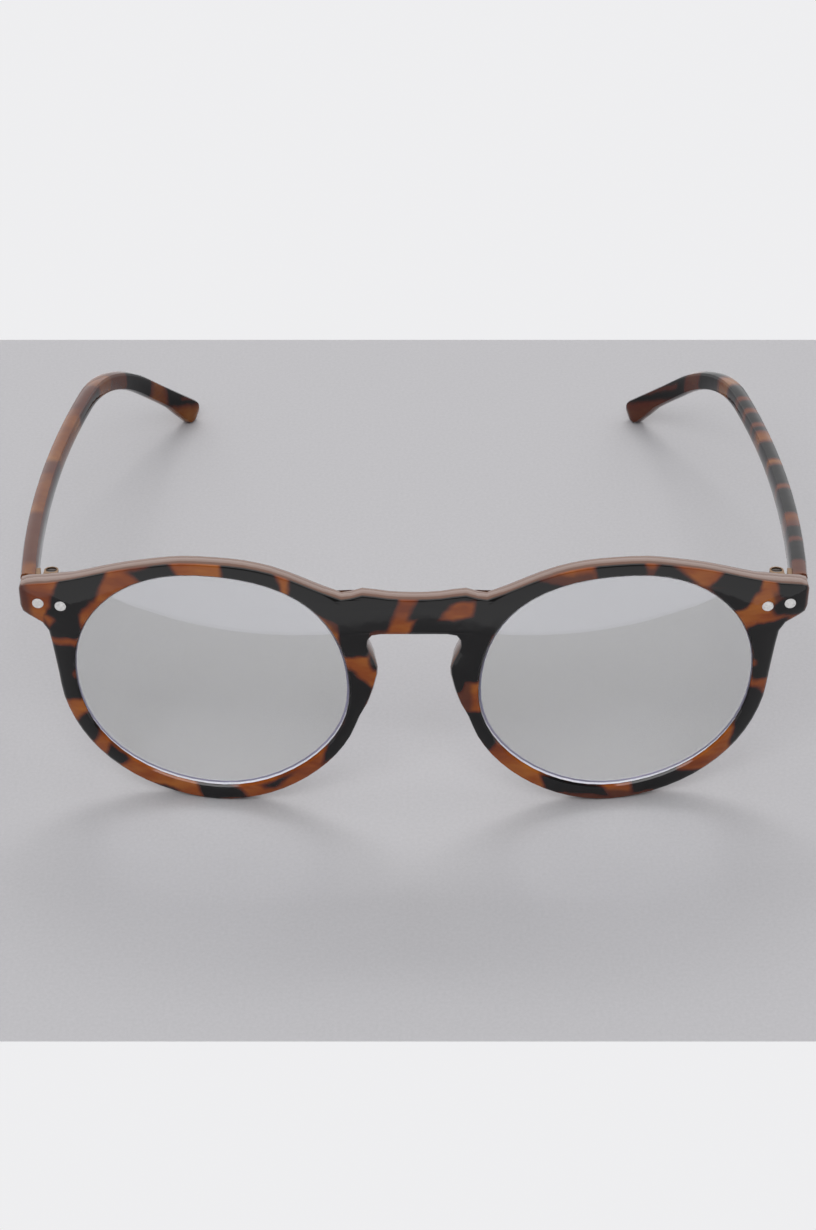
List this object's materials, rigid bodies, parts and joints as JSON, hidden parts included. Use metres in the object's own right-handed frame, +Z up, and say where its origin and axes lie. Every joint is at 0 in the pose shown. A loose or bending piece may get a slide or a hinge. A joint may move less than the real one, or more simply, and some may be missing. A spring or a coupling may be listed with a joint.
{
  "type": "round keyhole-bridge eyeglass frame",
  "caption": "Round glasses with a glossy tortoiseshell front, clear lenses, a keyhole bridge with moulded nose pads and slim folding temples that bend down at the ear.",
  "frame": {"origin": "on the table, at the centre of the box round the open glasses: midway between the temples and midway from the front of the bridge to the tips of the temples", "axes": "+X to the viewer's right as seen from the front, +Y from the front of the glasses back along the temples, +Z up from the table"},
  "size_m": [0.1438, 0.141, 0.052],
  "materials": {
    "tortoiseshell_front": "polished amber plastic with near-black patches",
    "tortoiseshell_temple": "polished amber plastic with near-black patches",
    "clear_lens": "clear with a faint lavender coating",
    "hinge_leaf": "satin, warm grey",
    "screw_steel": "satin",
    "rivet_steel": "bright satin"
  },
  "bodies": {
    "front": {"front_frame": "tortoiseshell_front", "lens_left": "clear_lens", "lens_right": "clear_lens", "front_hinge_left": "hinge_leaf", "front_hinge_right": "hinge_leaf", "hinge_screw_left": "screw_steel", "hinge_screw_right": "screw_steel", "rivet_left_outer": "rivet_steel", "rivet_left_inner": "rivet_steel", "rivet_right_outer": "rivet_steel", "rivet_right_inner": "rivet_steel"},
    "temple_left": {"temple_left": "tortoiseshell_temple", "temple_hinge_left": "hinge_leaf"},
    "temple_right": {"temple_right": "tortoiseshell_temple", "temple_hinge_right": "hinge_leaf"}
  },
  "joints": [
    {"name": "hinge_right", "type": "hinge", "parent": "front", "child": "temple_right", "pos_m": [0.06443, -0.057, 0.04068], "axis": [0, 0.1288, 0.9917], "range_deg": [0, 83]},
    {"name": "hinge_left", "type": "hinge", "parent": "front", "child": "temple_left", "pos_m": [-0.06443, -0.057, 0.04068], "axis": [0, -0.1288, -0.9917], "range_deg": [0, 70]}
  ]
}
